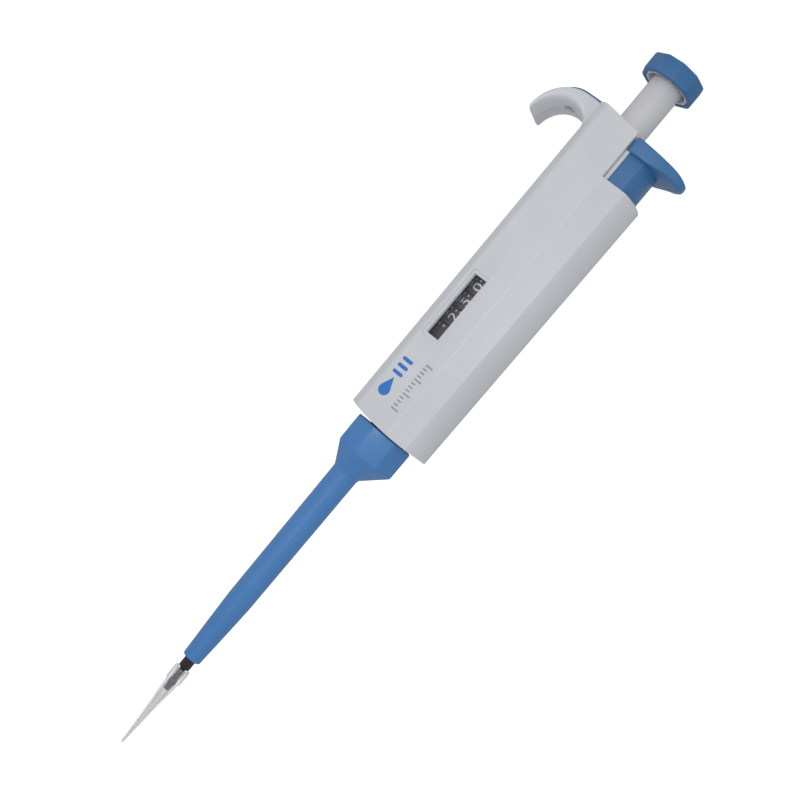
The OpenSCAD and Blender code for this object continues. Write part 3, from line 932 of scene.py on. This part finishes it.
def springs():
    """The three coils, copied from their CAD nodes with meshes of their own."""
    for node, joint, travel in SPRINGS:
        clear_selection()
        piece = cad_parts[node].copy()
        piece.data = piece.data.copy()
        piece.name = node + "_wire"
        piece.data.name = piece.name
        bpy.context.scene.collection.objects.link(piece)
        take(piece)
        bpy.ops.object.transform_apply(location=True, rotation=True, scale=True)
        bpy.ops.object.shade_smooth_by_angle(angle=math.radians(50))
        finish(piece, "handle", "spring_steel", WIRE, node)
        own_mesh(piece)


# ---------- studio, in metres ----------

FLOOR_LEVEL = -0.03
FLOOR_RADIUS = 3.0
FLOOR_GLOW = 0.15                      # on the object; the camera sees the floor white
WORLD_GLOW = 0.50                      # on the object
WORLD_SEEN = 1.05                      # by the camera
LIGHT_AIM = Vector((0, 0, 0.12))       # middle of the pipette

# azimuth and elevation in degrees, distance and size in metres, power in watts
LIGHTS = {
    "key": (6, 11, 0.9, 0.7, 1.28),
    "front": (14, 1, 0.9, 0.2, 0.75),
    "right_glint": (62, 4, 0.8, 0.06, 0.34),
    "left_glint": (-34, 6, 0.8, 0.07, 0.30),
    "side": (-80, 10, 1.0, 0.7, 0.25),
}


def add_floor():
    clear_selection()
    bpy.ops.mesh.primitive_circle_add(vertices=64, radius=FLOOR_RADIUS, fill_type="NGON",
                                      location=(0, 0, FLOOR_LEVEL))
    floor = bpy.context.object
    floor.name = "floor"
    material, nodes, links, shader = new_material("floor_white")
    shader.inputs["Base Color"].default_value = (0.6, 0.6, 0.61, 1)
    shader.inputs["Roughness"].default_value = 0.9
    shader.inputs["Emission Color"].default_value = (1, 1, 1, 1)
    path = nodes.new("ShaderNodeLightPath")
    glow = nodes.new("ShaderNodeMapRange")
    glow.inputs["To Min"].default_value = FLOOR_GLOW
    glow.inputs["To Max"].default_value = 1.0
    links.new(path.outputs["Is Camera Ray"], glow.inputs["Value"])
    links.new(glow.outputs["Result"], shader.inputs["Emission Strength"])
    floor.data.materials.append(material)


def add_light(name, azimuth, elevation, distance, size, power):
    """A soft square light that looks at the middle of the pipette."""
    a, e = math.radians(azimuth), math.radians(elevation)
    way = Vector((math.sin(a) * math.cos(e), -math.cos(a) * math.cos(e), math.sin(e)))
    lamp = bpy.data.lights.new(name, "AREA")
    lamp.shape = "SQUARE"
    lamp.size = size
    lamp.energy = power
    light = bpy.data.objects.new(name, lamp)
    bpy.context.scene.collection.objects.link(light)
    light.location = LIGHT_AIM + way * distance
    light.rotation_euler = way.to_track_quat("Z", "Y").to_euler()


def add_world():
    """White to the camera, softer as light on the object."""
    world = bpy.data.worlds.new("studio")
    bpy.context.scene.world = world
    world.use_nodes = True
    nodes, links = world.node_tree.nodes, world.node_tree.links
    nodes.clear()
    seen = nodes.new("ShaderNodeBackground")
    seen.inputs["Color"].default_value = (1, 1, 1, 1)
    seen.inputs["Strength"].default_value = WORLD_SEEN
    glow = nodes.new("ShaderNodeBackground")
    glow.inputs["Color"].default_value = (0.95, 0.98, 1.0, 1)
    glow.inputs["Strength"].default_value = WORLD_GLOW
    path = nodes.new("ShaderNodeLightPath")
    mix = nodes.new("ShaderNodeMixShader")
    out = nodes.new("ShaderNodeOutputWorld")
    links.new(path.outputs["Is Camera Ray"], mix.inputs["Fac"])
    links.new(glow.outputs["Background"], mix.inputs[1])
    links.new(seen.outputs["Background"], mix.inputs[2])
    links.new(mix.outputs["Shader"], out.inputs["Surface"])


def add_studio():
    add_floor()
    add_world()
    for name, values in LIGHTS.items():
        add_light(name, *values)
    bpy.context.scene.view_settings.view_transform = "Standard"


# ---------- the pipette ----------

add_camera()
add_studio()
dress_inner_works()
rear_shell()
cover_shell()
hook()
hook_inlay()
push_button()
liner()
stem()
thumb_lever()
sleeve()
nozzle()
nozzle_band()
clear_tip()
drums()
casing_marks()
seam_beads()
springs()
